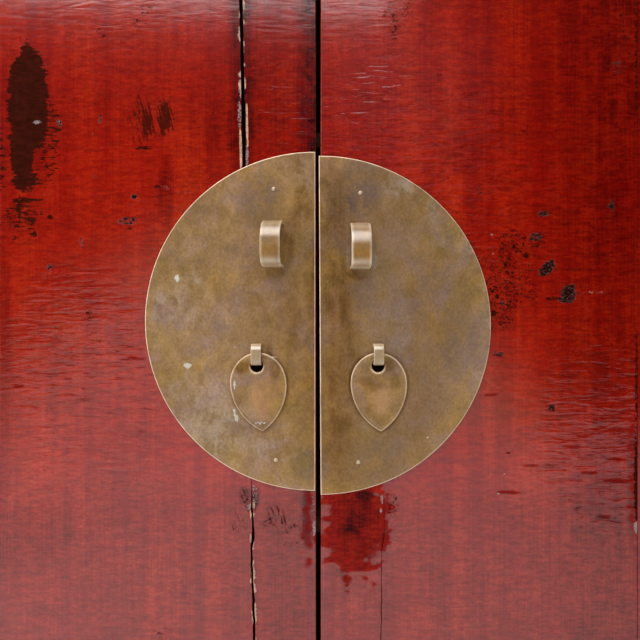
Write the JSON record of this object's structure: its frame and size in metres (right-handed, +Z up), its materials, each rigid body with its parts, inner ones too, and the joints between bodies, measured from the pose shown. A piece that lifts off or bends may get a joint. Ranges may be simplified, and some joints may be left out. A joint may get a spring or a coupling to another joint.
{
  "type": "chinese wedding cabinet",
  "caption": "Tall cabinet with red lacquered doors on wooden pintles and a round brass face plate split between them, with lock loops and drop pulls.",
  "frame": {"origin": "on the floor under the middle of the case", "axes": "+X to the right as one faces the doors, the doors face -Y, +Z up"},
  "size_m": [1.081, 0.566, 1.83],
  "materials": {
    "door_lacquer": "aged red lacquer over wood, glossy, crazed, with chips down to dark ground",
    "case_lacquer": "aged dark red lacquer over wood, satin, worn at the edges",
    "bare_wood": "unfinished aged elm, dusty and matt",
    "old_brass": "aged brass sheet with a mottled brown patina and bright worn edges"
  },
  "bodies": {
    "case": {"back_left_post": "case_lacquer", "back_lower_rail": "bare_wood", "back_muntin": "bare_wood", "back_right_post": "case_lacquer", "back_upper_rail": "bare_wood", "bottom_rail": "case_lacquer", "door_sill_rail": "case_lacquer", "floor_board": "bare_wood", "front_apron": "case_lacquer", "front_left_post": "case_lacquer", "front_right_post": "case_lacquer", "head_rail": "case_lacquer", "left_apron": "case_lacquer", "left_back_panel": "bare_wood", "left_lower_rail": "case_lacquer", "left_shelf_bearers": "bare_wood", "left_side_panel": "case_lacquer", "left_skirt_panel": "case_lacquer", "left_upper_rail": "case_lacquer", "lower_shelf": "bare_wood", "right_apron": "case_lacquer", "right_back_panel": "bare_wood", "right_lower_rail": "case_lacquer", "right_shelf_bearers": "bare_wood", "right_side_panel": "case_lacquer", "right_skirt_panel": "case_lacquer", "right_upper_rail": "case_lacquer", "skirt_muntin": "case_lacquer", "top_back_member": "case_lacquer", "top_front_member": "case_lacquer", "top_left_member": "case_lacquer", "top_panel": "case_lacquer", "top_right_member": "case_lacquer", "upper_shelf": "bare_wood"},
    "left_door": {"left_door_lower_batten": "bare_wood", "left_door_lower_rail": "door_lacquer", "left_door_panel": "door_lacquer", "left_door_upper_batten": "bare_wood", "left_door_upper_rail": "door_lacquer", "left_half_plate": "old_brass", "left_hinge_stile": "door_lacquer", "left_lock_loop": "old_brass", "left_meeting_stile": "door_lacquer", "left_plate_nails": "old_brass", "left_pull_staple": "old_brass"},
    "right_door": {"right_door_lower_batten": "bare_wood", "right_door_lower_rail": "door_lacquer", "right_door_panel": "door_lacquer", "right_door_upper_batten": "bare_wood", "right_door_upper_rail": "door_lacquer", "right_half_plate": "old_brass", "right_hinge_stile": "door_lacquer", "right_lock_loop": "old_brass", "right_meeting_stile": "door_lacquer", "right_plate_nails": "old_brass", "right_pull_staple": "old_brass"},
    "left_pull": {"left_pull": "old_brass"},
    "right_pull": {"right_pull": "old_brass"}
  },
  "joints": [
    {"name": "left_door_hinge", "type": "hinge", "parent": "case", "child": "left_door", "pos_m": [-0.4305, -0.232, 1.055], "axis": [0, 0, -1], "range_deg": [0, 95]},
    {"name": "right_door_hinge", "type": "hinge", "parent": "case", "child": "right_door", "pos_m": [0.4305, -0.232, 1.055], "axis": [0, 0, 1], "range_deg": [0, 95]},
    {"name": "left_pull_swing", "type": "hinge", "parent": "left_door", "child": "left_pull", "pos_m": [-0.0724, -0.2496, 1.01802], "axis": [-1, 0, 0], "range_deg": [0, 85]},
    {"name": "right_pull_swing", "type": "hinge", "parent": "right_door", "child": "right_pull", "pos_m": [0.0704, -0.2496, 1.01802], "axis": [-1, 0, 0], "range_deg": [0, 85]}
  ]
}
